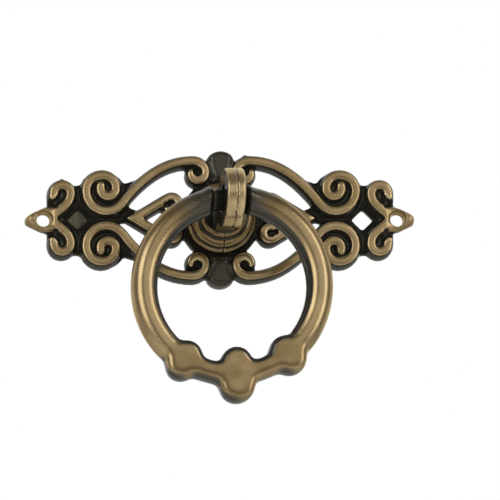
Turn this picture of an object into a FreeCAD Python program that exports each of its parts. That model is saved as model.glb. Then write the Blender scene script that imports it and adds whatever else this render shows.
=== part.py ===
"""Ring pull handle: a pierced scroll backplate, an eye post and a ring with three lobes.

Each piece is drawn flat, with x along the plate, y up the plate and z out of its face.
It is then stood up as it is fixed to a drawer front: z up, face towards -y, back at y = 0.
"""
import FreeCAD, Part
import math
import os

Vec = FreeCAD.Vector

# Relief of the backplate
LAND = 1.2                  # thickness of the floor around and between the scrolls
CROWN = 2.5                 # height of the scroll ridges over the back
CROWN_HALF = 0.75           # half the width of a ridge's flat crown
FOOT_HALF = 1.25            # half the width of a ridge at its foot
ARC_CORE = 0.1              # a foot stays this far from the centre of a tight arc

# Flat facets along the round stretches of the plate and the ring
FACET_TURN_DEG = 18.0       # the most that one facet turns
FACET_LENGTH = 1.6          # the most that one facet runs along a scroll
END_FACETS = 6              # round the end of a scroll
EGG_FACETS = 12             # round each end of a nose or a lobe
BAR_SIDES = 12              # round the bar of the ring
BAR_FACET_TURN_DEG = 6.0    # along the bar of the ring

# Long scroll of one quarter: a hook beside the fan, an arm, then a spiral
SCROLL_TOP_X = 5.3          # highest point of the crown line
SCROLL_TOP_Y = 11.05
HOOK_SHOULDER_RADIUS = 2.3
HOOK_SIDE_RADIUS = 1.45
HOOK_END_RADIUS = 1.2
HOOK_FLOOR_RADIUS = 2.2
HOOK_END_TURN_DEG = 95.0
ARM_UPPER_RADIUS = 13.4
ARM_UPPER_TURN_DEG = 34.0
ARM_LOWER_RADIUS = 24.0
ARM_LOWER_TURN_DEG = 20.0
SPIRAL_FIRST_RADIUS = 3.9
SPIRAL_SECOND_RADIUS = 3.1
SPIRAL_THIRD_RADIUS = 2.65
SPIRAL_EYE_RADIUS = 1.5
SPIRAL_EYE_TURN_DEG = 200.0

# Small scroll of one quarter, beside the spiral, running into the nose
WEB_RISE = 1.7              # floor in the notches over the middle of the spiral
SMALL_SCROLL_STEP = 2.9     # from the spiral's crown line to the small scroll's
SMALL_SCROLL_DROP = 0.45
SMALL_SCROLL_RADIUS = 1.65
SMALL_SCROLL_TAIL = 1.5
KNEE_RADIUS = 3.0
KNEE_TURN_DEG = 50.0

# Nose at each end of the plate, with its pin hole
NOSE_RADIUS = 2.5
NOSE_OFFSET = 0.4           # from the meeting of the small scrolls to the nose's wide end
NOSE_TAPER = 3.1            # from the nose's wide end to its tip
NOSE_TIP_RADIUS = 1.2
NOSE_SLOPE = 0.45           # how far the top is set in from the foot
PIN_HOLE_OFFSET = 1.1       # from the meeting of the small scrolls
PIN_HOLE_RADIUS = 1.2
PIN_SINK_RADIUS = 1.75      # countersink in the nose's face
PIN_SINK_DEPTH = 1.7

# Chevron between the hub and the spirals
CHEVRON_HOOK_X = 9.4
CHEVRON_HOOK_Y = 2.9
CHEVRON_SLOPE_DEG = 31.0
CHEVRON_HOOK_RADIUS = 1.2
CHEVRON_HOOK_TURN_DEG = 245.0
CHEVRON_WEB_REACH = 2.5     # how far the upper webs run along the chevron's arms

# Diamond window between the scrolls on the right, and the skin that closes it on the left
DIAMOND_HALF_X = 2.05
DIAMOND_HALF_Y = 2.0
SKIN_EDGE = 0.45
SKIN_RIDGE = 0.85

# Hub under the post, and the fans over and under it
HUB_RADIUS = 7.8
HUB_TOP = 1.8
HUB_BEVEL = 0.5
FAN_NECK_HALF = 1.4
FAN_FLARE_HALF = 2.6
FAN_FLARE_Y = 11.9
FAN_END_Y = 13.2
FAN_TOP = 2.4
FAN_BEVEL = 0.7

# Eye post
RIM_RADIUS = 6.7
RIM_HEIGHT = 1.0
RIM_BEVEL = 0.4
TIER_RADIUS = 6.0
TIER_HEIGHT = 1.5
TIER_BEVEL = 0.75
COLLAR_RADIUS = 4.6
COLLAR_HEIGHT = 1.3
COLLAR_BEVEL = 0.5
SPIGOT_RADIUS = 3.0
SPIGOT_CLEARANCE = 0.1
SPIGOT_SHY = 0.2            # the spigot stops this far short of the plate's back
THREAD_RADIUS = 1.65
THREAD_DEPTH = 5.2
EYE_REACH = 13.0            # middle of the eye, from the plate's back
EYE_WALL = 3.0
EYE_WIDTH = 3.6
EYE_BEVEL = 0.3
EYE_FOOT_HALF = 3.8         # foot of the eye on the collar
EYE_FOOT_TOP_HALF = 3.0

# Ring
NECK_RADIUS = 2.0
NECK_PLAY = 0.4             # room all round a neck in the middle of the eye
NECK_SEAT_GAP = 0.25        # gap under the neck where it hangs in the eye
NECK_ROOT = 0.5             # the neck's ends are sunk this far into the shoulders
SIDE_PLAY = 1.4             # gap between the eye and each shoulder
RING_SLIP_DEG = 3.0         # how far the ring has slipped round in the eye
SHOULDER_RADIUS = 2.85      # flared end of an arm, beside the eye
SHOULDER_LENGTH = 3.0
SHOULDER_FAR_RADIUS = 2.3   # where it meets the bar
RING_RADIUS = 16.5          # middle of the bar
BAR_WIDTH = 5.2
BAR_DEPTH = 4.6
LINK_WIDTH = 4.0            # bar between the lobes, flush with them
LOBE_STEP_DEG = 35.9        # from lobe to lobe
LOBE_OUT_RADIUS = 3.5       # middle lobe
LOBE_OUT_OFFSET = 2.05
LOBE_IN_RADIUS = 3.1
LOBE_IN_OFFSET = 2.1
SIDE_LOBE_RADIUS = 3.1
SIDE_LOBE_OUT_OFFSET = 1.05
SIDE_LOBE_IN_OFFSET = 0.75
LOBE_DEPTH = 4.4
LOBE_EDGE = 1.0             # rounding of the lobes' rims
LOBE_EDGE_FACETS = 2

# Worked out from the sizes above
EYE_HOLE_RADIUS = NECK_RADIUS + NECK_PLAY
EYE_RADIUS = EYE_HOLE_RADIUS + EYE_WALL
PIVOT_Y = NECK_SEAT_GAP - NECK_PLAY
SHOULDER_X = EYE_WIDTH / 2 + SIDE_PLAY
RING_CENTRE_Y = PIVOT_Y - RING_RADIUS
BEYOND = 80.0               # reaches past the handle in every direction, for cutting boxes

UP = Vec(0, 0, 1)
ORIGIN = Vec(0, 0, 0)


def direction(degrees):
    return Vec(math.cos(math.radians(degrees)), math.sin(math.radians(degrees)), 0)


def face_of(points):
    return Part.Face(Part.makePolygon(points + points[:1]))


def facet_solid(outlines):
    """Solid with flat faces between like outlines, one after another."""
    faces = [face_of(outlines[0]), face_of(outlines[-1])]
    for near, far in zip(outlines, outlines[1:]):
        faces += [face_of([near[k - 1], near[k], far[k], far[k - 1]]) for k in range(len(near))]
    shell = Part.makeShell(faces)
    shell.sewShape()
    solid = Part.makeSolid(shell)
    if solid.Volume < 0:
        solid.reverse()
    return solid


def arc_points(centre, radius, start, turn, facets):
    return [centre + direction(start + turn * k / facets) * radius for k in range(facets + 1)]


def slab(points, thickness):
    return face_of(points).extrude(UP * thickness)


def disc(centre, radius, thickness):
    return Part.makeCylinder(radius, thickness, centre)


def fuse(shapes):
    joined = shapes[0].multiFuse(shapes[1:])
    return joined.removeSplitter()


def egg(wide, wide_radius, narrow, narrow_radius, z):
    """Outline round two circles, joined by their common tangents."""
    along = narrow - wide
    axis = math.degrees(math.atan2(along.y, along.x))
    lean = math.degrees(math.acos((wide_radius - narrow_radius) / along.Length))
    lift = UP * z
    far_side = arc_points(wide + lift, wide_radius, axis + lean, 360 - 2 * lean, EGG_FACETS)
    near_side = arc_points(narrow + lift, narrow_radius, axis - lean, 2 * lean, EGG_FACETS)
    return far_side + near_side


class Ridge:
    """A raised strip that follows a chain of tangent arcs and straight runs."""

    def __init__(self, point, heading):
        self.point = point
        self.heading = heading
        self.centre = point
        self.solids = []

    def section(self, left=FOOT_HALF, right=FOOT_HALF):
        """Outline across the strip; a side narrower than the foot is cut off upright."""
        slope = (CROWN - LAND) / (FOOT_HALF - CROWN_HALF)
        corners = []
        for sign, half in ((1, left), (-1, right)):
            across = direction(self.heading + 90 * sign)
            profile = [(half, 0.0), (half, LAND + (FOOT_HALF - half) * slope), (CROWN_HALF, CROWN)]
            corners += [self.point + across * x + UP * z for x, z in profile[::sign]]
        return corners

    def arc(self, radius, turn):
        side = math.copysign(1, turn)
        self.centre = self.point + direction(self.heading + 90 * side) * radius
        run = math.radians(abs(turn)) * radius
        facets = math.ceil(max(abs(turn) / FACET_TURN_DEG, run / FACET_LENGTH))
        inner = min(FOOT_HALF, radius - ARC_CORE)
        left, right = (inner, FOOT_HALF) if side > 0 else (FOOT_HALF, inner)
        start = self.heading
        sections = [self.section(left, right)]
        for k in range(1, facets + 1):
            self.heading = start + turn * k / facets
            self.point = self.centre + direction(self.heading - 90 * side) * radius
            sections.append(self.section(left, right))
        self.solids.append(facet_solid(sections))
        return self

    def run(self, length):
        step = direction(self.heading) * length
        self.solids.append(face_of(self.section()).extrude(step))
        self.point = self.point + step
        return self

    def round_end(self):
        foot = arc_points(self.point, FOOT_HALF, self.heading - 90, 180, END_FACETS)
        top = arc_points(self.point + UP * CROWN, CROWN_HALF, self.heading - 90, 180, END_FACETS)
        brow = [corner + UP * LAND for corner in foot]
        self.solids.append(facet_solid([foot, brow, top]))
        return self


def long_scroll():
    """Arm and spiral going out from the top of the scroll, and the hook going in from it."""
    top = Vec(SCROLL_TOP_X, SCROLL_TOP_Y, 0)
    out = Ridge(top, 0)
    out.arc(ARM_UPPER_RADIUS, -ARM_UPPER_TURN_DEG)
    arm_middle = out.point
    out.arc(ARM_LOWER_RADIUS, -ARM_LOWER_TURN_DEG)
    arm_foot = out.point
    out.arc(SPIRAL_FIRST_RADIUS, ARM_UPPER_TURN_DEG + ARM_LOWER_TURN_DEG)
    lowest = out.point
    spiral_centre = out.centre
    out.arc(SPIRAL_FIRST_RADIUS, 90)
    outermost = out.point
    out.arc(SPIRAL_SECOND_RADIUS, 90).arc(SPIRAL_THIRD_RADIUS, 90)
    crook = slab([arm_middle, arm_foot, out.point, out.point + Vec(0, WEB_RISE / 2, 0)], LAND)
    out.arc(SPIRAL_EYE_RADIUS, SPIRAL_EYE_TURN_DEG).round_end()
    hook = Ridge(top, 180)
    hook.arc(HOOK_SHOULDER_RADIUS, 90).arc(HOOK_SIDE_RADIUS, 90)
    hook.arc(HOOK_END_RADIUS, HOOK_END_TURN_DEG).round_end()
    spiral_floor = disc(spiral_centre, SPIRAL_FIRST_RADIUS, LAND)
    hook_floor = disc(hook.centre, HOOK_FLOOR_RADIUS, LAND)
    return out.solids + hook.solids + [spiral_floor, hook_floor, crook], arm_foot, lowest, outermost


def small_scroll(outermost):
    """Curl going up from the side next to the spiral, and the strip going down to the nose."""
    side = outermost + Vec(SMALL_SCROLL_STEP, -SMALL_SCROLL_DROP, 0)
    curl = Ridge(side, 90)
    curl.arc(SMALL_SCROLL_RADIUS, -180)
    floor = disc(curl.centre, SMALL_SCROLL_RADIUS, LAND)
    shoulder = curl.point
    curl.run(SMALL_SCROLL_TAIL).round_end()
    strip = Ridge(side, -90)
    strip.arc(KNEE_RADIUS, KNEE_TURN_DEG)
    knee = strip.point
    throat = slab([side, knee, curl.point, shoulder], LAND)
    fall = math.radians(90 - KNEE_TURN_DEG)
    strip.run(knee.y / math.sin(fall) + FOOT_HALF * 2)
    meeting = Vec(knee.x + knee.y / math.tan(fall), 0, 0)
    return curl.solids + strip.solids + [floor, throat], side, knee, meeting


def chevron():
    """Upper arm of the chevron, from its point on the middle line to its hook by the hub."""
    heading = 180 - CHEVRON_SLOPE_DEG
    centre = Vec(CHEVRON_HOOK_X, CHEVRON_HOOK_Y, 0)
    shoulder = centre + direction(heading - 90) * CHEVRON_HOOK_RADIUS
    fall = math.radians(CHEVRON_SLOPE_DEG)
    point = Vec(shoulder.x + shoulder.y / math.tan(fall), 0, 0)
    overrun = direction(heading) * (FOOT_HALF * 2)
    arm = Ridge(point - overrun, heading)
    arm.run((shoulder - point + overrun).Length)
    arm.arc(CHEVRON_HOOK_RADIUS, CHEVRON_HOOK_TURN_DEG).round_end()
    reach = Vec(centre.x + CHEVRON_HOOK_RADIUS / 2, 0, 0)
    rise = Vec(0, centre.y + CHEVRON_HOOK_RADIUS / 2, 0)
    floor = slab([ORIGIN, reach, reach + rise, rise], LAND)
    return arm.solids + [floor], point


def nose(meeting):
    """Pointed end of the plate, raised to the crown, from where the small scrolls meet."""
    wide = meeting + Vec(NOSE_OFFSET, 0, 0)
    tip = wide + Vec(NOSE_TAPER, 0, 0)
    sides = [egg(wide, NOSE_RADIUS, tip, NOSE_TIP_RADIUS, z) for z in (0, LAND)]
    top = egg(wide, NOSE_RADIUS - NOSE_SLOPE, tip, NOSE_TIP_RADIUS - NOSE_SLOPE, CROWN)
    front = Part.makeBox(BEYOND, 2 * BEYOND, BEYOND, meeting + Vec(-FOOT_HALF, -BEYOND, 0))
    return facet_solid(sides + [top]).common(front)


def pin_hole(place):
    sink_foot = UP * (CROWN - PIN_SINK_DEPTH)
    sink = Part.makeCone(PIN_HOLE_RADIUS, PIN_SINK_RADIUS, PIN_SINK_DEPTH, place + sink_foot)
    return disc(place, PIN_HOLE_RADIUS, CROWN).fuse(sink)


def fan():
    """Keystone over the hub that flares to a round end, with bevelled edges, on a floor up to the hooks."""
    neck = Vec(FAN_NECK_HALF, HUB_RADIUS - HUB_BEVEL, 0)
    flare = Vec(FAN_FLARE_HALF, FAN_FLARE_Y, 0)
    end = Vec(0, FAN_END_Y, 0)
    mirror = FreeCAD.Matrix(-1, 0, 0, 0)
    sides = [Part.LineSegment(mirror * neck, neck), Part.LineSegment(neck, flare),
             Part.Arc(flare, end, mirror * flare), Part.LineSegment(mirror * flare, mirror * neck)]
    outline = Part.Wire([side.toShape() for side in sides])
    keystone = Part.Face(outline).extrude(UP * FAN_TOP)
    rims = [edge for edge in keystone.Edges if edge.BoundBox.ZMin > LAND]
    floor = slab([mirror * Vec(FAN_FLARE_HALF, 0, 0), Vec(FAN_FLARE_HALF, 0, 0), flare, mirror * flare], LAND)
    return keystone.makeChamfer(FAN_BEVEL, rims).fuse(floor)


def backplate():
    scroll, arm_foot, lowest, outermost = long_scroll()
    small, side, knee, meeting = small_scroll(outermost)
    arm, point = chevron()
    rise = Vec(0, WEB_RISE, 0)
    web = slab([point, lowest, outermost + rise, side + rise, knee, meeting], LAND)
    quarter = fuse(scroll + small + arm + [web])
    quarter = quarter.common(Part.makeBox(BEYOND, BEYOND, BEYOND))
    along_arm = direction(180 - CHEVRON_SLOPE_DEG) * CHEVRON_WEB_REACH
    upper_web = slab([point, lowest, arm_foot, point + along_arm], LAND)
    right = fuse([quarter, quarter.mirror(ORIGIN, Vec(0, 1, 0)), upper_web, nose(meeting)])
    right = right.cut(pin_hole(meeting + Vec(PIN_HOLE_OFFSET, 0, 0)))
    left = right.mirror(ORIGIN, Vec(1, 0, 0))

    middle = Vec((outermost.x + side.x) / 2, 0, 0)
    corners = [middle + Vec(DIAMOND_HALF_X, 0, 0), middle + Vec(0, DIAMOND_HALF_Y, 0),
               middle - Vec(DIAMOND_HALF_X, 0, 0), middle - Vec(0, DIAMOND_HALF_Y, 0)]
    diamond = slab(corners, LAND)
    gable = face_of([Vec(-DIAMOND_HALF_X, 0, 0), Vec(DIAMOND_HALF_X, 0, 0),
                     Vec(DIAMOND_HALF_X, 0, SKIN_EDGE), Vec(0, 0, SKIN_RIDGE),
                     Vec(-DIAMOND_HALF_X, 0, SKIN_EDGE)])
    gable.translate(middle - Vec(0, DIAMOND_HALF_Y, 0))
    skin = gable.extrude(Vec(0, 2 * DIAMOND_HALF_Y, 0)).common(diamond)
    right = right.cut(diamond)
    left = left.cut(diamond.cut(skin).mirror(ORIGIN, Vec(1, 0, 0)))

    hub = disc(ORIGIN, HUB_RADIUS, HUB_TOP)
    hub = hub.makeChamfer(HUB_BEVEL, [edge for edge in hub.Edges if edge.BoundBox.ZMin > LAND])
    upper_fan = fan()
    plate = fuse([hub, right, left, upper_fan, upper_fan.mirror(ORIGIN, Vec(0, 1, 0))])
    return plate.cut(disc(ORIGIN, SPIGOT_RADIUS + SPIGOT_CLEARANCE, BEYOND))


def eye_post():
    rim_top = HUB_TOP + RIM_HEIGHT
    tier_top = rim_top + TIER_HEIGHT
    collar_top = tier_top + COLLAR_HEIGHT
    profile = [(0, SPIGOT_SHY), (SPIGOT_RADIUS, SPIGOT_SHY), (SPIGOT_RADIUS, HUB_TOP)]
    foot = HUB_TOP
    for radius, top, bevel in ((RIM_RADIUS, rim_top, RIM_BEVEL), (TIER_RADIUS, tier_top, TIER_BEVEL),
                               (COLLAR_RADIUS, collar_top, COLLAR_BEVEL)):
        profile += [(radius, foot), (radius, top - bevel), (radius - bevel, top)]
        foot = top
    profile.append((0, collar_top))
    boss = face_of([Vec(radius, 0, height) for radius, height in profile]).revolve(ORIGIN, UP, 360)
    boss = boss.cut(disc(UP * SPIGOT_SHY, THREAD_RADIUS, THREAD_DEPTH))

    across = Vec(1, 0, 0)
    side = across * (-EYE_WIDTH / 2)
    eye_middle = UP * EYE_REACH
    eye = Part.makeCylinder(EYE_RADIUS, EYE_WIDTH, eye_middle + side, across)
    eye = eye.makeChamfer(EYE_BEVEL, [edge for edge in eye.Edges if edge.Closed])
    waist = EYE_REACH - EYE_RADIUS + EYE_WALL / 2
    foot = face_of([Vec(0, -EYE_FOOT_HALF, collar_top), Vec(0, EYE_FOOT_HALF, collar_top),
                    Vec(0, EYE_FOOT_TOP_HALF, waist), Vec(0, -EYE_FOOT_TOP_HALF, waist)])
    foot.translate(side)
    hole = Part.makeCylinder(EYE_HOLE_RADIUS, EYE_WIDTH, eye_middle + side, across)
    return fuse([boss, eye, foot.extrude(across * EYE_WIDTH)]).cut(hole)


def bar_stretch(section, start, turn):
    """Stretch of the ring's bar with a section of (outward, depth) points, from one angle to another."""
    centre = Vec(0, RING_CENTRE_Y, EYE_REACH)
    steps = math.ceil(turn / BAR_FACET_TURN_DEG)
    outlines = []
    for step in range(steps + 1):
        outward = direction(start + turn * step / steps)
        outlines.append([centre + outward * (RING_RADIUS + across) + UP * z for across, z in section])
    return facet_solid(outlines)


def oval_section():
    angles = [math.radians(360 / BAR_SIDES * (k + 0.5)) for k in range(BAR_SIDES)]
    return [(BAR_WIDTH / 2 * math.cos(angle), BAR_DEPTH / 2 * math.sin(angle)) for angle in angles]


def rim_levels():
    """Inset and height of each step down the rounded rim of the lobes and of the bar between them."""
    levels = []
    for step in range(LOBE_EDGE_FACETS + 1):
        bend = math.radians(90 * step / LOBE_EDGE_FACETS)
        levels.append((LOBE_EDGE * (1 - math.sin(bend)), LOBE_DEPTH / 2 - LOBE_EDGE * (1 - math.cos(bend))))
    return levels + [(inset, -z) for inset, z in reversed(levels)]


def flush_section():
    rim = [(LINK_WIDTH / 2 - inset, z) for inset, z in reversed(rim_levels())]
    return rim + [(-across, -z) for across, z in rim]


def shoulder(sign):
    """Flared end of an arm, from the gap beside the eye to where it meets the round of the bar."""
    far_x = SHOULDER_X + SHOULDER_LENGTH
    drop = RING_RADIUS - math.sqrt(RING_RADIUS ** 2 - far_x ** 2)
    outlines = []
    for x, y, radius in ((SHOULDER_X, PIVOT_Y, SHOULDER_RADIUS),
                         (far_x, PIVOT_Y - drop, SHOULDER_FAR_RADIUS)):
        rim = arc_points(ORIGIN, radius, 0, 360, BAR_SIDES)[1:]
        outlines.append([Vec(sign * x, y + point.x, EYE_REACH + point.y) for point in rim])
    return facet_solid(outlines)


def lobe(angle, out_radius, out_offset, in_radius, in_offset):
    """Flat egg with rounded rims across the bar, at an angle round the ring."""
    centre = Vec(0, RING_CENTRE_Y, EYE_REACH)
    wide = centre + direction(angle) * (RING_RADIUS + out_offset)
    narrow = centre + direction(angle) * (RING_RADIUS - in_offset)
    return facet_solid([egg(wide, out_radius - inset, narrow, in_radius - inset, z)
                        for inset, z in rim_levels()])


def pull_ring():
    bottom = -90
    outer_lobe = bottom + LOBE_STEP_DEG
    bar = bar_stretch(oval_section(), outer_lobe, 360 - 2 * LOBE_STEP_DEG)
    link = bar_stretch(flush_section(), bottom - LOBE_STEP_DEG, 2 * LOBE_STEP_DEG)
    gap = Part.makeBox(2 * SHOULDER_X, BEYOND, BEYOND, Vec(-SHOULDER_X, RING_CENTRE_Y, 0))
    neck_half = SHOULDER_X + NECK_ROOT
    neck = Part.makeCylinder(NECK_RADIUS, 2 * neck_half, Vec(-neck_half, PIVOT_Y, EYE_REACH), Vec(1, 0, 0))
    lobes = [lobe(bottom, LOBE_OUT_RADIUS, LOBE_OUT_OFFSET, LOBE_IN_RADIUS, LOBE_IN_OFFSET)]
    for step in (-LOBE_STEP_DEG, LOBE_STEP_DEG):
        lobes.append(lobe(bottom + step, SIDE_LOBE_RADIUS, SIDE_LOBE_OUT_OFFSET,
                          SIDE_LOBE_RADIUS, SIDE_LOBE_IN_OFFSET))
    ring = fuse([bar.cut(gap), neck, link, shoulder(-1), shoulder(1)] + lobes)
    ring.rotate(Vec(0, RING_CENTRE_Y, 0), UP, RING_SLIP_DEG)
    return ring


def stand_up(shape):
    """Turn a flat-drawn piece up onto the drawer front."""
    shape.rotate(ORIGIN, Vec(1, 0, 0), 90)
    return shape


os.makedirs("parts", exist_ok=True)
for name, make in (("backplate", backplate), ("eye_post", eye_post), ("pull_ring", pull_ring)):
    piece = stand_up(make())
    print(name, "solids", len(piece.Solids), "valid", piece.isValid(), "volume", round(piece.Volume, 1),
          "box", [round(v, 2) for v in (piece.BoundBox.XMin, piece.BoundBox.XMax, piece.BoundBox.YMin,
                                        piece.BoundBox.YMax, piece.BoundBox.ZMin, piece.BoundBox.ZMax)])
    piece.exportStep("parts/" + name + ".step")
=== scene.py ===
"""Antique brass ring pull handle: cast forms, worn patina, studio light and camera."""
import math

import bpy
import numpy as np
from mathutils import Matrix, Vector, noise


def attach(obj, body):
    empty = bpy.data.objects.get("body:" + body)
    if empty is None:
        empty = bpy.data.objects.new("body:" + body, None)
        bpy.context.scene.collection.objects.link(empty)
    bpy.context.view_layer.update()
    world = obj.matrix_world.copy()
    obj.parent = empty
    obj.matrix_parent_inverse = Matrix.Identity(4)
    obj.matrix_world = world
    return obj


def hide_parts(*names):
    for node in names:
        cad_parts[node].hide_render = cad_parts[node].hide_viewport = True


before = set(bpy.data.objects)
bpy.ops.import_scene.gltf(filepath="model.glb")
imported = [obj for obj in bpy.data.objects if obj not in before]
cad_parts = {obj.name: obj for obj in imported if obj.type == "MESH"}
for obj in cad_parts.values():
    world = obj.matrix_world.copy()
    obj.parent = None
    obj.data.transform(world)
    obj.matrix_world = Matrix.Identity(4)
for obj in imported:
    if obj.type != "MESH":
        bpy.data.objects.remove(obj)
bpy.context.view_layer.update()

MM = 0.001

# A pair of values in brackets is a range: the share is 0 at the first and 1 at the second

# Casting: voxels in millimetres, and passes of smoothing that round the edges
PLATE_VOXEL = 0.2
POST_VOXEL = 0.11
RING_VOXEL = 0.18
PLATE_PASSES = 12
NOSE_PASSES = 70
FAN_PASSES = 16
PRESS_PASSES = 12
POST_PASSES = 10
RING_PASSES = 26
LOBE_PASSES = 80
CALM_PASSES = 12

# Shape of the plate, in millimetres from the middle of its back
NOSE_X = (31.6, 32.4)
NOSE_Z = (2.55, 2.15)
FRONT = (0.2, 0.8)              # height over the back
PIN_HOLE_X = 33.911
DOME = (1.5, 2.1)               # a nose is domed outside the rim of its pin hole
FAN_ROOT_Z = 7.4
FAN_FLARE_Z = 11.9
FAN_ROOT_HALF = 1.4
FAN_FLARE_HALF = 2.6
FAN_RIM = 0.35
TAIL_X = 32.3                   # end of a small scroll's curl, beside the nose
TAIL_Z = 4.5
TAIL_SIDE = (1.3, 0.8)          # pressed beside the nose, up to the round end of the curl
TAIL_TOP = (4.5, 4.1)
TAIL_FOOT = (1.9, 2.6)
TAIL_TIP = (0.75, 1.15)
HOOKS = ((4.5, 8.95, 0.85), (9.55, 2.85, 0.72), (10.5, 2.6, 0.5))   # x, z and radius of their open middles
HOOK_RIM = 0.12
HOOK_SLOPE = 0.2
PRESS_FLOOR = 1.35
PRESS_SHARE = 0.85
PRESSED = (0.0, 0.3)
RIPPLE = 0.03
RIPPLE_SIZE = 1.7
RIPPLE_HEIGHT = (2.0, 2.35)
NIBS = ((-30.4, 7.75), (-34.05, 2.75), (4.6, 12.15), (-26.75, 7.9))     # flash on the rim
NIB_RADIUS = 0.4
NIB_HEIGHT = 0.3
NIB_FOOT = (0.3, 0.8)

# Finish of the plate, with painted highlights, painted glints, painted sheen, painted reflection and painted
# shade
CROWN = (2.12, 2.44)            # height: patina below, rubbed brass above
NOSE_CROWN = (0.25, 0.9)
PIN_RIM = (1.9, 1.7)
PLATE_EDGE_HIGHLIGHT = (0.004, 0.016)     # bend of the surface: convex edges are painted paler, partly worn brass and partly a painted highlight
# concave creases low in the grooves get paler, glossier patina: painted glints
PLATE_CREASE_GLINT = (-0.008, -0.02)
CREASE_GLINT_TOP = (1.9, 1.6)
BACKWARD = (0.5, 0.9)           # normal along +Y
BACK_TOP = (0.4, 0.15)
# steeply sloping sides: paler patina there is a painted sheen, darker brass on the noses' flanks is painted
# shade
STEEP_SHEEN_AND_SHADE = (0.75, 0.35)
SKIN_FROM_X = 24.5              # closed diamond on the left
SKIN_TO_X = 30.5
SKIN_HALF_Z = 2.4
SKIN_TOP = 1.0
# the closed diamond's patina is painted paler, most towards its left end: a painted reflection on its facets
SKIN_REFLECTION_X = (-26.6, -27.9)
PLATE_TONE = 0.22
PLATE_BLOTCH = 3.5

# Eye post, in millimetres
EYE_OUT = 13.0
EYE_BAND = (4.95, 5.2)          # distance from the eye's middle
EYE_FROM_OUT = (5.7, 6.7)
EYE_SIDE = (0.9, 0.7)           # normal along X
BOSS_FOOT = (1.85, 2.0)
BOSS_TOP = (5.9, 5.6)
BOSS_INNER = (4.3, 3.9)
BOSS_STEP = (-0.006, 0.004)     # bend of the surface
# convex edges of the post are painted paler brass: a painted highlight
POST_EDGE_HIGHLIGHT = (0.003, 0.013)
SEAM_X = 0.25
SEAM_HALF = 0.15
SEAM_DEPTH = 0.14
SEAM_BREAKS = (-0.7, -0.1)
SEAM_ON_BOSS_Z = (-3.5, -4.5)
BRUSH_DEPTH = 0.02
# the eye band is painted paler on its right half: a painted highlight
BAND_HIGHLIGHT_X = (0.2, 1.4)
POST_TONE = 0.12
POST_GLOSS = 0.4

# Ring, in millimetres, and in degrees round it, level with its middle at 0
RING_CENTRE_Z = -16.65
RING_RADIUS = 16.5
RING_SLIP = math.radians(3.0)
BAR_HALF_WIDTH = 2.6
BAR_HALF_DEPTH = 2.3
BAR_TRIM = 0.966                # the round bar stays inside the facets
LOBES = (-38.0, -48.0)
ARMS_FOOT = (-40.0, -28.0)
ARMS_TOP = (66.0, 56.0)
NECK_X = (3.4, 3.1)
SHOULDER_FROM_LEFT = 24.0       # patina begins lower on the left arm
SHOULDER_FROM_RIGHT = 40.0
SHOULDER_FULL = 80.0
SHOULDER_LEAD = 14.0            # the brass darkens this far before the patina
STREAK_REACH = 5.0
STREAK_SIZE = 0.7
INWARD = (-0.45, -0.7)          # normal away from the ring's middle
LOBE_INWARD = (0.15, -0.15)
LOBE_RIM = (0.99, 0.92)         # normal along Y
# lobe walls are pushed towards patina: painted shade
LOBE_WALL_SHADE = (0.8, 0.1)
LOBE_ROUND = (0.95, 0.7)
LOBE_FACE = (0.9, 0.97)
LOBE_BACK = (1.5, -1.1)         # depth from front to back
LEFTWARD_SHADE = (0.5, -0.3)          # normal along X: lobe walls facing left get more painted shade
DOWNWARD_SHADE = (-0.15, -0.6)        # normal along Z: lobe walls facing down get painted shade
RING_TONE = 0.38
RING_BLOTCH = 4.0
SMUDGE = 1.6
RING_GLOSS = 0.7

# Colours, linear
BRASS_DEEP = (0.215, 0.145, 0.064, 1.0)
BRASS_PALE = (0.57, 0.435, 0.235, 1.0)
LACQUER = (1.0, 0.96, 0.78, 1.0)
PATINA = (0.0085, 0.008, 0.0058, 1.0)
PATINA_PALE = (0.105, 0.094, 0.066, 1.0)
PATINA_ROUGHNESS = 0.2
BRASS_METALLIC = 0.92
FLOOR_COLOUR = (0.92, 0.92, 0.92, 1.0)
WHITE = (1.0, 1.0, 1.0, 1.0)

# Studio, in metres and watts: name, place, width, height and power of each soft box
SOFT_BOXES = (("left", (-0.43, -0.55, 0.22), 0.34, 0.6, 1.7),
              ("right", (0.50, -0.50, 0.22), 0.26, 0.6, 1.3),
              ("front", (0.14, -0.72, 0.25), 0.5, 0.42, 0.5))
SOFT_BOX_AIM = Vector((0.0, 0.0, -0.01))
ROOM_LEVEL = 0.25               # in front of the handle; behind it the world is white
FLOOR_HALF = 3.0
FLOOR_Z = -0.3

# Camera: the picture stays square on to the plate, which it sees from below and from the left
SIGHT_RIGHT = 0.195             # a point moves this far right in the picture for its distance out of the plate
SIGHT_UP = 0.335
CAMERA_DISTANCE = 0.6
PIXELS_PER_METRE = 5205.0
PICTURE = 500.0
SENSOR = 36.0
AIM = Vector((5.96, 0.0, -5.36)) * MM


def smoothstep(low, high, value):
    t = np.clip((value - low) / (high - low), 0.0, 1.0)
    return t * t * (3.0 - 2.0 * t)


def link(obj):
    bpy.context.scene.collection.objects.link(obj)
    return obj


def grain(points, size, seed=0.0):
    """Smooth noise from -1 to 1 at each point, with bumps of about the given size in millimetres."""
    return np.array([noise.noise(Vector(p) / size + Vector((seed, seed, seed))) for p in points])


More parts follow.
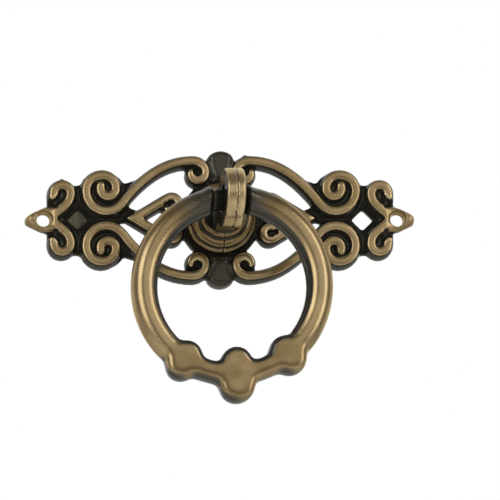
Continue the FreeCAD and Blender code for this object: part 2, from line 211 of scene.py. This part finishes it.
class Surface:
    """Vertices of a mesh in millimetres, with their neighbours and normals."""

    def __init__(self, mesh):
        self.mesh = mesh
        count = len(mesh.vertices)
        self.points = np.empty(count * 3, np.float32)
        mesh.vertices.foreach_get("co", self.points)
        self.points = self.points.reshape(-1, 3).astype(np.float64)
        ends = np.empty(len(mesh.edges) * 2, np.int32)
        mesh.edges.foreach_get("vertices", ends)
        self.ends = ends.reshape(-1, 2)
        self.degree = np.maximum(np.bincount(self.ends.ravel(), minlength=count), 1)[:, None]

    def around(self, values):
        """Mean of the neighbours' values."""
        total = np.zeros_like(values)
        np.add.at(total, self.ends[:, 0], values[self.ends[:, 1]])
        np.add.at(total, self.ends[:, 1], values[self.ends[:, 0]])
        return total / self.degree

    def smooth(self, passes, share=0.5):
        """Move each point towards its neighbours' mean, by a share that may differ from point to point."""
        for _ in range(passes):
            self.points += share * (self.around(self.points) - self.points)
        self.store()

    def calm(self, passes):
        """Even out small unevenness without losing thickness."""
        for _ in range(passes):
            self.smooth(1, 0.5)
            self.smooth(1, -0.51)

    def store(self):
        self.mesh.vertices.foreach_set("co", self.points.astype(np.float32).ravel())
        self.mesh.update()

    def normals(self):
        normals = np.empty(len(self.points) * 3, np.float32)
        self.mesh.vertices.foreach_get("normal", normals)
        return normals.reshape(-1, 3).astype(np.float64)

    def bend(self, passes=4):
        """How far the surface stands out of its surroundings: edges are positive, grooves negative."""
        bend = np.sum((self.points - self.around(self.points)) * self.normals(), axis=1, keepdims=True)
        for _ in range(passes):
            bend = 0.5 * bend + 0.5 * self.around(bend)
        return bend[:, 0]

    def paint(self, name, values):
        layer = self.mesh.attributes.new(name, "FLOAT", "POINT")
        layer.data.foreach_set("value", np.clip(values, 0.0, 1.0).astype(np.float32))


def cast_form(node, name, voxel):
    """Fine even mesh of a CAD node, in millimetres."""
    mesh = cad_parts[node].data.copy()
    mesh.materials.clear()
    mesh.transform(Matrix.Scale(1.0 / MM, 4))
    rough = link(bpy.data.objects.new(name + "_rough", mesh))
    remesh = rough.modifiers.new("remesh", "REMESH")
    remesh.mode = "VOXEL"
    remesh.voxel_size = voxel
    bpy.context.view_layer.update()
    fine = bpy.data.meshes.new_from_object(rough.evaluated_get(bpy.context.evaluated_depsgraph_get()))
    bpy.data.objects.remove(rough)
    fine.name = name
    return Surface(fine)


def finish_piece(surface, name, node, body, material):
    """Piece in metres that rides on a body in place of a CAD node."""
    surface.store()
    mesh = surface.mesh
    mesh.transform(Matrix.Scale(MM, 4))
    mesh.polygons.foreach_set("use_smooth", [True] * len(mesh.polygons))
    mesh.materials.clear()
    mesh.materials.append(material)
    piece = link(bpy.data.objects.new(name, mesh))
    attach(piece, body)
    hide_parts(node)


class Nodes:
    """Short hand for building a node tree."""

    def __init__(self, tree):
        self.tree = tree

    def add(self, kind, **inputs):
        node = self.tree.nodes.new(kind)
        for key, value in inputs.items():
            self.set(node.inputs[key.replace("_", " ")], value)
        return node

    def set(self, socket, value):
        if isinstance(value, bpy.types.NodeSocket):
            self.tree.links.new(value, socket)
        else:
            socket.default_value = value

    def attribute(self, name):
        node = self.tree.nodes.new("ShaderNodeAttribute")
        node.attribute_name = name
        return node.outputs["Fac"]

    def noise(self, where, scale, detail, roughness=0.5):
        node = self.add("ShaderNodeTexNoise", Vector=where, Scale=scale, Detail=detail, Roughness=roughness)
        return node.outputs["Fac"]

    def ramp(self, value, low, high, out_low=0.0, out_high=1.0):
        node = self.tree.nodes.new("ShaderNodeMapRange")
        node.interpolation_type = "SMOOTHSTEP"
        for key, entry in (("Value", value), ("From Min", low), ("From Max", high),
                           ("To Min", out_low), ("To Max", out_high)):
            self.set(node.inputs[key], entry)
        return node.outputs["Result"]

    def maths(self, operation, first, second):
        node = self.tree.nodes.new("ShaderNodeMath")
        node.operation = operation
        self.set(node.inputs[0], first)
        self.set(node.inputs[1], second)
        return node.outputs[0]

    def mix(self, factor, first, second):
        node = self.tree.nodes.new("ShaderNodeMix")
        node.data_type = "RGBA"
        self.set(node.inputs["Factor"], factor)
        self.set(node.inputs[6], first)
        self.set(node.inputs[7], second)
        return node.outputs[2]


def antique_brass(name, brass_roughness, speckle):
    """Rubbed brass where the wear attribute is high, lacquered black patina where it is low; the wear
    attribute also holds painted shade on the ring's lobes, the tone attribute painted highlights and painted
    shade on the brass, and the haze attribute painted sheen, painted glints and painted reflection on the
    patina.
    """
    material = bpy.data.materials.new(name)
    material.use_nodes = True
    n = Nodes(material.node_tree)
    shader = n.tree.nodes["Principled BSDF"]
    where = n.add("ShaderNodeTexCoord").outputs["Object"]
    broad = n.noise(where, 300.0, 2.0)
    fine = n.noise(where, 2200.0, 4.0, 0.6)
    dust = n.noise(where, 7000.0, 2.0)

    # brass against patina; low values also carry painted shade on the ring's lobes
    broken = n.maths("ADD", n.attribute("wear_and_shade"), n.ramp(fine, 0.25, 0.75, -speckle, speckle))
    brass_share = n.ramp(broken, 0.2, 0.8)
    tone_and_light = n.maths("ADD", n.attribute("tone_and_light"), n.ramp(broad, 0.3, 0.7, -0.06, 0.06))
    tone_and_light = n.maths("ADD", tone_and_light, n.ramp(fine, 0.25, 0.75, -0.02, 0.02))
    brass = n.mix(tone_and_light, BRASS_DEEP, BRASS_PALE)
    haze_and_sheen = n.maths("ADD", n.attribute("haze_and_sheen"), n.ramp(fine, 0.4, 0.75, 0.0, 0.06))
    patina = n.mix(haze_and_sheen, PATINA, PATINA_PALE)
    satin = n.ramp(dust, 0.3, 0.7, -0.03, 0.03)
    roughness = n.ramp(brass_share, 0.0, 1.0, PATINA_ROUGHNESS, brass_roughness)
    n.set(shader.inputs["Base Color"], n.mix(brass_share, patina, brass))
    n.set(shader.inputs["Metallic"], n.ramp(brass_share, 0.0, 1.0, 0.0, BRASS_METALLIC))
    n.set(shader.inputs["Roughness"], n.maths("ADD", roughness, satin))
    n.set(shader.inputs["Specular IOR Level"], n.attribute("gloss"))
    shader.inputs["Specular Tint"].default_value = LACQUER

    pores = n.maths("ADD", n.maths("MULTIPLY", fine, 0.7), n.maths("MULTIPLY", dust, 0.3))
    bump = n.add("ShaderNodeBump", Strength=0.1, Distance=0.00005, Height=pores)
    n.set(shader.inputs["Normal"], bump.outputs["Normal"])
    return material


def shape_plate(surface, nose, fan, from_hole):
    """Dome the noses, soften the fans, press down the curls' ends and the hooks, and roughen the casting."""
    front = smoothstep(*FRONT, -surface.points[:, 1])
    surface.smooth(NOSE_PASSES, 0.5 * (nose * smoothstep(*DOME, from_hole) * front)[:, None])
    surface.smooth(FAN_PASSES, 0.5 * (fan * front)[:, None])

    x, y, z = surface.points.T
    height = -y
    pressed = smoothstep(*TAIL_SIDE, np.abs(np.abs(x) - TAIL_X))
    pressed *= smoothstep(*TAIL_TOP, np.abs(z)) * smoothstep(*TAIL_FOOT, np.abs(z))
    pressed *= smoothstep(*TAIL_TIP, np.hypot(np.abs(x) - TAIL_X, np.abs(z) - TAIL_Z))
    for hook_x, hook_z, radius in HOOKS:
        from_middle = np.hypot(np.abs(x) - hook_x, np.abs(z) - hook_z)
        pressed = np.maximum(pressed, smoothstep(radius + HOOK_RIM, radius - HOOK_SLOPE, from_middle))
    press = np.maximum(height - PRESS_FLOOR, 0.0) * PRESS_SHARE * pressed
    ripple = RIPPLE * (1.0 + grain(surface.points, RIPPLE_SIZE)) * smoothstep(*RIPPLE_HEIGHT, height)
    surface.points[:, 1] += press + np.maximum(ripple, 0.0)
    for nib_x, nib_z in NIBS:
        lump = np.exp(-((x - nib_x) ** 2 + (z - nib_z) ** 2) / NIB_RADIUS ** 2) * smoothstep(*NIB_FOOT, height)
        surface.points += (NIB_HEIGHT * lump)[:, None] * surface.normals() * (1.0, 0.0, 1.0)
    surface.smooth(PRESS_PASSES, 0.5 * smoothstep(*PRESSED, pressed)[:, None])
    surface.points[:, 1] = np.minimum(surface.points[:, 1], 0.0)
    surface.store()


def paint_plate(surface, nose, fan, from_hole):
    """Brass on crowns, noses and hole rims, patina in the grooves and on the fans, dull plating behind, with
    painted highlights on convex edges, a painted reflection on the closed diamond, painted glints in the
    creases, painted sheen on steeply sloping sides and painted shade on the noses' flanks.
    """
    x, y, z = surface.points.T
    height = -y
    normals = surface.normals()
    bend = surface.bend()
    hole = smoothstep(*PIN_RIM, from_hole)
    # convex edges are painted paler brass: partly worn, partly a painted highlight
    rubbed_edge_highlight = smoothstep(*PLATE_EDGE_HIGHLIGHT, bend) * (1.0 - hole)
    # paler patina along concave creases in the grooves: painted glints
    crease_glint = smoothstep(*PLATE_CREASE_GLINT, bend) * smoothstep(*CREASE_GLINT_TOP, height)
    back = smoothstep(*BACKWARD, normals[:, 1]) * smoothstep(*BACK_TOP, height)
    # steeply sloping sides: painted sheen on the patina, painted shade on the noses' flanks
    steep_sheen_and_shade = smoothstep(*STEEP_SHEEN_AND_SHADE, np.abs(normals[:, 1]))
    blotch = grain(surface.points, PLATE_BLOTCH, 11.0)
    skin = (x < -SKIN_FROM_X) & (x > -SKIN_TO_X) & (np.abs(z) < SKIN_HALF_Z) & (height < SKIN_TOP)
    skin = skin * (1.0 - back)

    wear_and_shade = np.maximum(smoothstep(*CROWN, height), nose * smoothstep(*NOSE_CROWN, height))
    wear_and_shade = np.maximum(wear_and_shade * (1.0 - fan), hole)
    fan = fan * (1.0 - back)
    # brass colour: random blotches, painted highlights on convex edges and painted shade on the noses' steeply
    # sloping flanks
    tone_and_light = PLATE_TONE - 0.2 * back + 0.15 * blotch + 0.65 * rubbed_edge_highlight - 0.15 * nose * steep_sheen_and_shade * (1.0 - hole)
    # paler patina: the fans' own, a painted reflection on the closed diamond strongest at its left end,
    # painted sheen on steeply sloping sides and painted glints in creases
    haze_and_sheen = 0.2 * fan + skin * (0.3 + 0.5 * smoothstep(*SKIN_REFLECTION_X, x)) + 0.12 * steep_sheen_and_shade + 0.15 * crease_glint
    surface.paint("wear_and_shade", np.maximum(wear_and_shade, back * (0.5 + 0.2 * blotch)))
    surface.paint("tone_and_light", tone_and_light)
    surface.paint("haze_and_sheen", haze_and_sheen)
    surface.paint("gloss", 0.08 + 0.3 * fan + 0.3 * skin + 0.4 * steep_sheen_and_shade + 0.4 * crease_glint)


def backplate():
    surface = cast_form("backplate", "scroll_plate", PLATE_VOXEL)
    surface.smooth(PLATE_PASSES)
    surface.calm(CALM_PASSES)
    x, _, z = surface.points.T
    nose = smoothstep(*NOSE_X, np.abs(x)) * smoothstep(*NOSE_Z, np.abs(z))
    from_hole = np.hypot(np.abs(x) - PIN_HOLE_X, z)
    along = np.clip((np.abs(z) - FAN_ROOT_Z) / (FAN_FLARE_Z - FAN_ROOT_Z), 0.0, 1.0)
    fan_half = FAN_ROOT_HALF + (FAN_FLARE_HALF - FAN_ROOT_HALF) * along
    fan = smoothstep(FAN_RIM, 0.0, np.abs(x) - fan_half) * (np.abs(z) > FAN_ROOT_Z)
    shape_plate(surface, nose, fan, from_hole)
    paint_plate(surface, nose, fan, from_hole)
    brass = antique_brass("plate_brass", brass_roughness=0.28, speckle=0.02)
    finish_piece(surface, "scroll_plate", "backplate", "base", brass)


def eye_post():
    surface = cast_form("eye_post", "stepped_eye", POST_VOXEL)
    surface.smooth(POST_PASSES)
    surface.calm(CALM_PASSES)
    x, y, z = surface.points.T
    out = -y
    normals = surface.normals()
    band = smoothstep(*EYE_BAND, np.hypot(out - EYE_OUT, z)) * smoothstep(*EYE_FROM_OUT, out)
    band *= smoothstep(*EYE_SIDE, np.abs(normals[:, 0]))
    boss = smoothstep(*BOSS_FOOT, out) * smoothstep(*BOSS_TOP, out)
    flat = surface.points * (0.0, 1.0, 1.0)
    wander = SEAM_X + 0.16 * grain(flat, 0.9) + 0.07 * grain(flat, 0.3, 5.0)
    seam = np.exp(-((x - wander) / SEAM_HALF) ** 2) * smoothstep(*SEAM_BREAKS, grain(flat, 0.8, 9.0))
    seam *= np.maximum(band, boss * smoothstep(*SEAM_ON_BOSS_Z, z))
    surface.points -= (SEAM_DEPTH * seam)[:, None] * normals
    brush = grain(surface.points * (5.0, 1.0, 1.0), 2.2, 3.0)
    surface.points -= (BRUSH_DEPTH * (1.0 + brush) * band)[:, None] * normals
    surface.store()

    bend = surface.bend()
    inner = smoothstep(*BOSS_INNER, np.hypot(x, z))
    steps = boss * smoothstep(*BOSS_STEP, bend) * (1.0 - 0.8 * inner)
    # band colour: brush grain of its own, and a painted highlight on its right half
    band_tone_and_highlight = 0.42 + 0.2 * brush + 0.4 * smoothstep(*BAND_HIGHLIGHT_X, x)
    rough = grain(surface.points, 0.5, 7.0)
    surface.paint("wear_and_shade", np.maximum(band, 0.9 * steps) * (1.0 - 0.95 * seam))
    # paler brass on convex edges is a painted highlight
    surface.paint("tone_and_light", POST_TONE + band_tone_and_highlight * band + 0.4 * smoothstep(*POST_EDGE_HIGHLIGHT, bend))
    surface.paint("haze_and_sheen", 0.04 + 0.12 * smoothstep(0.1, 0.6, rough))
    surface.paint("gloss", np.full(len(x), POST_GLOSS))
    brass = antique_brass("post_brass", brass_roughness=0.24, speckle=0.04)
    finish_piece(surface, "stepped_eye", "eye_post", "base", brass)


def pull_ring():
    surface = cast_form("pull_ring", "lobed_ring", RING_VOXEL)
    surface.smooth(RING_PASSES)
    x, y, z = surface.points.T
    rise = z - RING_CENTRE_Z
    reach = np.maximum(np.hypot(x, rise), 1e-6)
    turn = np.arctan2(rise, x) - RING_SLIP
    angle = np.degrees(np.arcsin(np.clip(np.sin(turn), -1.0, 1.0)))
    across = reach - RING_RADIUS
    depth = -y - EYE_OUT
    lobes = smoothstep(*LOBES, angle)
    arms = smoothstep(*ARMS_FOOT, angle) * smoothstep(*ARMS_TOP, angle)
    size = np.hypot(across / BAR_HALF_WIDTH, depth / BAR_HALF_DEPTH)
    grow = arms * (BAR_TRIM / np.maximum(size, 0.5) - 1.0)
    surface.points += np.stack([x * across / reach, -depth, rise * across / reach], axis=1) * grow[:, None]
    surface.smooth(LOBE_PASSES, 0.5 * lobes[:, None])

    depth = -y - EYE_OUT
    normals = surface.normals()
    outward = (normals[:, 0] * x + normals[:, 2] * rise) / reach
    facing = np.abs(normals[:, 1])
    leftward_shade = smoothstep(*LEFTWARD_SHADE, normals[:, 0])
    wear_and_shade = 1.0 - smoothstep(*INWARD, outward)
    wear_and_shade *= 1.0 - lobes * smoothstep(*LOBE_RIM, facing) * smoothstep(*LOBE_INWARD, outward)
    # lobe walls, more so those facing left or down, are painted darker: painted shade
    wear_and_shade *= 1.0 - lobes * smoothstep(*LOBE_WALL_SHADE, facing) * (0.15 + 0.35 * leftward_shade)
    wear_and_shade *= 1.0 - lobes * smoothstep(*DOWNWARD_SHADE, normals[:, 2]) * (0.3 + 0.35 * leftward_shade)
    wear_and_shade *= 1.0 - 0.95 * lobes * smoothstep(*LOBE_BACK, depth) * smoothstep(*LOBE_ROUND, facing)
    streak = STREAK_REACH * grain(np.stack([depth, across, angle * 0.05], axis=1), STREAK_SIZE, 21.0)
    shoulder_from = np.where(x < 0.0, SHOULDER_FROM_LEFT, SHOULDER_FROM_RIGHT)
    shoulder = smoothstep(shoulder_from, SHOULDER_FULL, angle + streak)
    wear_and_shade *= 1.0 - 0.75 * shoulder
    neck = smoothstep(*NECK_X, np.abs(x)) * (rise > 0.0)

    # a pale band on the lobes' rounding beside the face, on the inner side: a painted highlight
    rubbed_edge_highlight = smoothstep(0.99, 0.96, facing) * smoothstep(0.85, 0.92, facing) * smoothstep(0.0, -0.1, outward)
    smudge = grain(surface.points * (0.5, 1.0, 1.0), SMUDGE, 17.0)
    tone_and_light = RING_TONE + 0.08 * grain(surface.points, RING_BLOTCH, 13.0)
    tone_and_light += lobes * (0.14 * smudge - 0.2 * smoothstep(*LOBE_FACE, facing) + 0.25 * rubbed_edge_highlight)
    tone_and_light -= 0.4 * smoothstep(shoulder_from - SHOULDER_LEAD, SHOULDER_FULL - SHOULDER_LEAD, angle + streak)
    surface.paint("wear_and_shade", wear_and_shade * (1.0 - neck))
    surface.paint("tone_and_light", tone_and_light)
    surface.paint("haze_and_sheen", 0.06 * shoulder * (1.0 - neck))
    surface.paint("gloss", RING_GLOSS - 0.65 * neck)
    brass = antique_brass("ring_brass", brass_roughness=0.25, speckle=0.01)
    finish_piece(surface, "lobed_ring", "pull_ring", "ring", brass)


def pale_floor():
    mesh = bpy.data.meshes.new("floor")
    corners = ((-1, -1), (1, -1), (1, 1), (-1, 1))
    mesh.from_pydata([(FLOOR_HALF * i, FLOOR_HALF * j, FLOOR_Z) for i, j in corners], [], [(0, 1, 2, 3)])
    material = bpy.data.materials.new("pale_floor")
    material.use_nodes = True
    shader = material.node_tree.nodes["Principled BSDF"]
    shader.inputs["Base Color"].default_value = FLOOR_COLOUR
    shader.inputs["Roughness"].default_value = 0.9
    mesh.materials.append(material)
    link(bpy.data.objects.new("floor", mesh))


def studio():
    """White behind the handle, a dimmer room in front of it and three soft boxes."""
    world = bpy.data.worlds.new("studio")
    bpy.context.scene.world = world
    world.use_nodes = True
    n = Nodes(world.node_tree)
    n.tree.nodes.clear()
    side = n.add("ShaderNodeSeparateXYZ", Vector=n.add("ShaderNodeTexCoord").outputs["Generated"])
    level = n.ramp(side.outputs["Y"], -0.3, 0.4, ROOM_LEVEL, 1.0)
    seen = n.add("ShaderNodeLightPath").outputs["Is Camera Ray"]
    white = n.add("ShaderNodeBackground", Color=WHITE, Strength=n.maths("MAXIMUM", level, seen))
    output = n.add("ShaderNodeOutputWorld")
    n.set(output.inputs["Surface"], white.outputs[0])

    for name, place, width, height, power in SOFT_BOXES:
        lamp = bpy.data.lights.new(name, "AREA")
        lamp.shape = "RECTANGLE"
        lamp.size = width
        lamp.size_y = height
        lamp.energy = power
        obj = link(bpy.data.objects.new(name, lamp))
        obj.location = place
        obj.rotation_euler = (SOFT_BOX_AIM - Vector(place)).to_track_quat("-Z", "Y").to_euler()


def camera():
    """Camera whose view axis slants while its picture stays parallel to the plate, as in a cropped photo."""
    sight = Vector((SIGHT_RIGHT, 1.0, SIGHT_UP))
    data = bpy.data.cameras.new("camera")
    data.sensor_width = SENSOR
    data.lens = SENSOR * PIXELS_PER_METRE * CAMERA_DISTANCE * sight.length / PICTURE
    obj = link(bpy.data.objects.new("camera", data))
    obj.parent = link(bpy.data.objects.new("camera_stand", None))
    slant = Matrix((Vector((1, 0, 0)), Vector((0, 0, 1)), -sight.normalized())).transposed()
    obj.matrix_parent_inverse = Matrix.Translation(AIM - sight * CAMERA_DISTANCE) @ slant.to_4x4()
    bpy.context.scene.camera = obj


backplate()
eye_post()
pull_ring()
pale_floor()
studio()
camera()
bpy.context.scene.view_settings.view_transform = "Standard"
